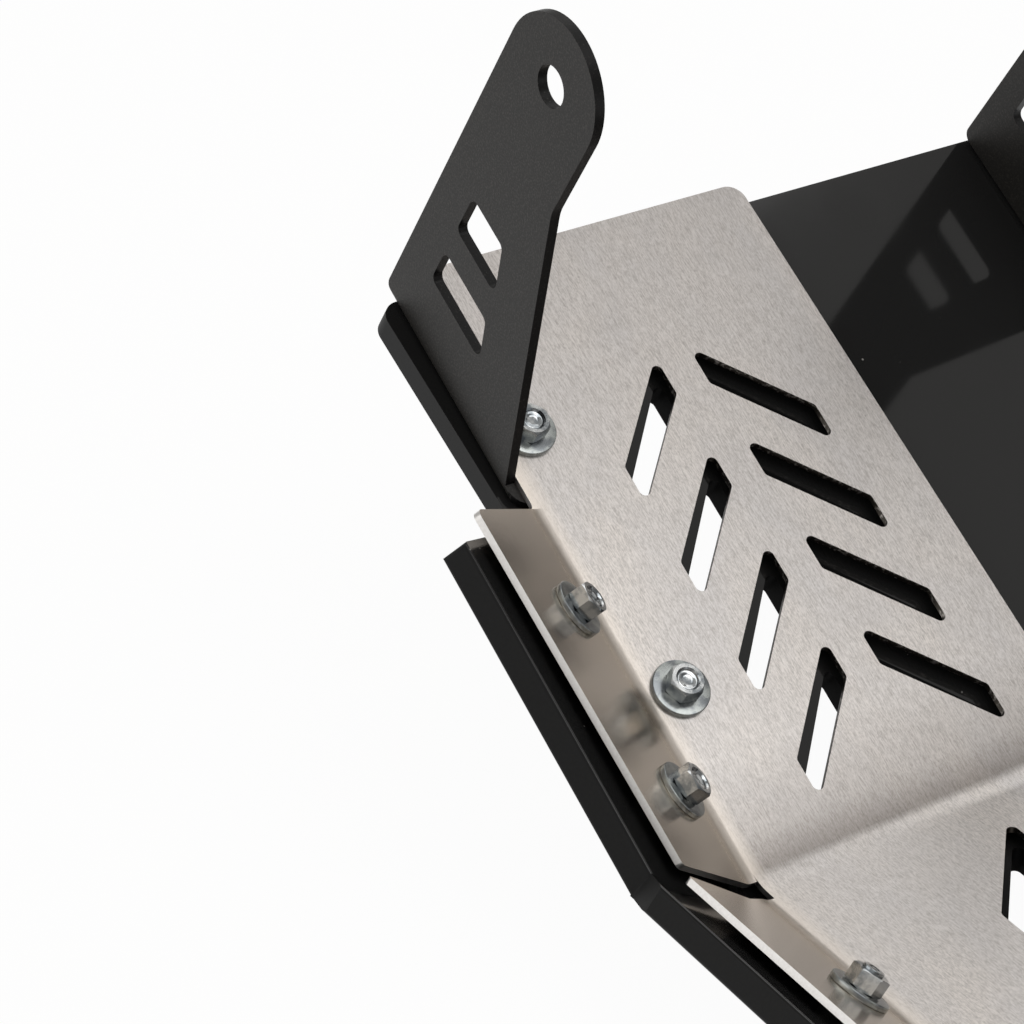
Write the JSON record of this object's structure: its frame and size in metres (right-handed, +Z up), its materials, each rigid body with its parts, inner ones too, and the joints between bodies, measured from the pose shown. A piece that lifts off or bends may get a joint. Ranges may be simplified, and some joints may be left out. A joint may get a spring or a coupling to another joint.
{
  "type": "motorcycle skid plate",
  "caption": "Engine guard: a folded aluminium sheet bolted inside a black moulded shell with leaning side walls, hung from upright frame brackets.",
  "frame": {"origin": "the middle of the flat underside, on the middle plane between the brackets", "axes": "+Z is up, +Y is forward up the front panel, +X is the right of the picture"},
  "size_m": [0.3058, 0.4782, 0.2222],
  "materials": {
    "shell_plastic": "gloss black faces with matt cut edges",
    "sheet_aluminium": "bare mill finish with fine scratches along its length",
    "bracket_coating": "black powder coat with a fine speckle",
    "zinc_steel": "bright zinc plate",
    "spacer_plastic": "plain black moulding"
  },
  "bodies": {
    "root": {"skid_shell": "shell_plastic", "inner_sheet": "sheet_aluminium", "left_bracket": "bracket_coating", "right_bracket": "bracket_coating", "left_bracket_bolts": "zinc_steel", "left_bracket_washers": "zinc_steel", "left_bracket_nuts": "zinc_steel", "right_bracket_bolts": "zinc_steel", "right_bracket_washers": "zinc_steel", "right_bracket_nuts": "zinc_steel", "front_flange_bolts": "zinc_steel", "front_flange_washers": "zinc_steel", "front_flange_nuts": "zinc_steel", "front_flange_spacers": "spacer_plastic", "front_panel_bolts": "zinc_steel", "front_panel_washers": "zinc_steel", "front_panel_nuts": "zinc_steel", "front_panel_spacers": "spacer_plastic", "floor_flange_bolts": "zinc_steel", "floor_flange_washers": "zinc_steel", "floor_flange_nuts": "zinc_steel", "floor_flange_spacers": "spacer_plastic", "floor_side_bolts": "zinc_steel", "floor_side_washers": "zinc_steel", "floor_side_nuts": "zinc_steel", "floor_side_spacers": "spacer_plastic"}
  },
  "joints": []
}
